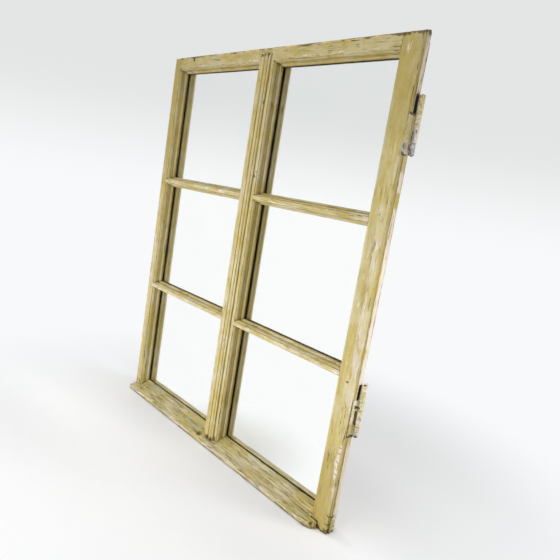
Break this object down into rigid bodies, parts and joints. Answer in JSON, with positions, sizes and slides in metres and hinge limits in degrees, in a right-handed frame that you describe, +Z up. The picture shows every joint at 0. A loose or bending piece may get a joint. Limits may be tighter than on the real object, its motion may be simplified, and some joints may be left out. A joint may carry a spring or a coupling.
{
  "type": "casement window sash",
  "caption": "Old painted timber casement sash with a moulded mullion and glazing bars, mirror panes, a sloping weather rail along its foot and butt hinges on its hanging edge.",
  "frame": {"origin": "on the ground under the middle of the sash's box, hinges and weather nose included", "axes": "+Z up along the stiles, +Y from the moulded front to the back, +X from the meeting stile to the hanging stile"},
  "size_m": [1.008, 0.0754, 1.174],
  "materials": {
    "painted_wood": "old yellow-ochre paint, cracked along the grain and worn to bare wood on the edges",
    "bare_wood": "unpainted softwood, aged",
    "mirror": "silvered on the back",
    "painted_iron": "the paint of the sash over iron, chipped to grey metal",
    "bare_iron": "dull bare iron"
  },
  "bodies": {
    "sash": {"meeting_stile": "painted_wood", "hanging_stile": "painted_wood", "mullion": "painted_wood", "top_rail": "painted_wood", "bottom_rail": "painted_wood", "mullion_cover_strip": "painted_wood", "lower_bar_left": "painted_wood", "upper_bar_left": "painted_wood", "lower_bar_right": "painted_wood", "upper_bar_right": "painted_wood", "peg_top_left": "bare_wood", "peg_top_right": "bare_wood", "peg_foot_left": "bare_wood", "peg_foot_right": "bare_wood", "peg_mullion_top": "bare_wood", "peg_mullion_foot": "bare_wood", "mirror_lower_left": "mirror", "mirror_lower_right": "mirror", "mirror_middle_left": "mirror", "mirror_middle_right": "mirror", "mirror_upper_left": "mirror", "mirror_upper_right": "mirror", "bead_lower_left_foot": "bare_wood", "bead_lower_left_west": "bare_wood", "bead_lower_left_head": "bare_wood", "bead_lower_left_east": "bare_wood", "bead_lower_right_foot": "bare_wood", "bead_lower_right_west": "bare_wood", "bead_lower_right_head": "bare_wood", "bead_lower_right_east": "bare_wood", "bead_middle_left_foot": "bare_wood", "bead_middle_left_west": "bare_wood", "bead_middle_left_head": "bare_wood", "bead_middle_left_east": "bare_wood", "bead_middle_right_foot": "bare_wood", "bead_middle_right_west": "bare_wood", "bead_middle_right_head": "bare_wood", "bead_middle_right_east": "bare_wood", "bead_upper_left_foot": "bare_wood", "bead_upper_left_west": "bare_wood", "bead_upper_left_head": "bare_wood", "bead_upper_left_east": "bare_wood", "bead_upper_right_foot": "bare_wood", "bead_upper_right_west": "bare_wood", "bead_upper_right_head": "bare_wood", "bead_upper_right_east": "bare_wood", "upper_hinge_sash_leaf": "painted_iron", "upper_hinge_pin": "bare_iron", "upper_hinge_screw_1": "bare_iron", "upper_hinge_screw_2": "bare_iron", "upper_hinge_screw_3": "bare_iron", "lower_hinge_sash_leaf": "painted_iron", "lower_hinge_pin": "bare_iron", "lower_hinge_screw_1": "bare_iron", "lower_hinge_screw_2": "bare_iron", "lower_hinge_screw_3": "bare_iron"},
    "upper_frame_leaf": {"upper_hinge_frame_leaf": "painted_iron"},
    "lower_frame_leaf": {"lower_hinge_frame_leaf": "painted_iron"}
  },
  "joints": [
    {"name": "upper_hinge", "type": "hinge", "parent": "sash", "child": "upper_frame_leaf", "pos_m": [0.4975, 0.01575, 0.984], "axis": [0, 0, -1], "range_deg": [0, 180]},
    {"name": "lower_hinge", "type": "hinge", "parent": "sash", "child": "lower_frame_leaf", "pos_m": [0.4975, 0.01575, 0.322], "axis": [0, 0, -1], "range_deg": [0, 180]}
  ]
}
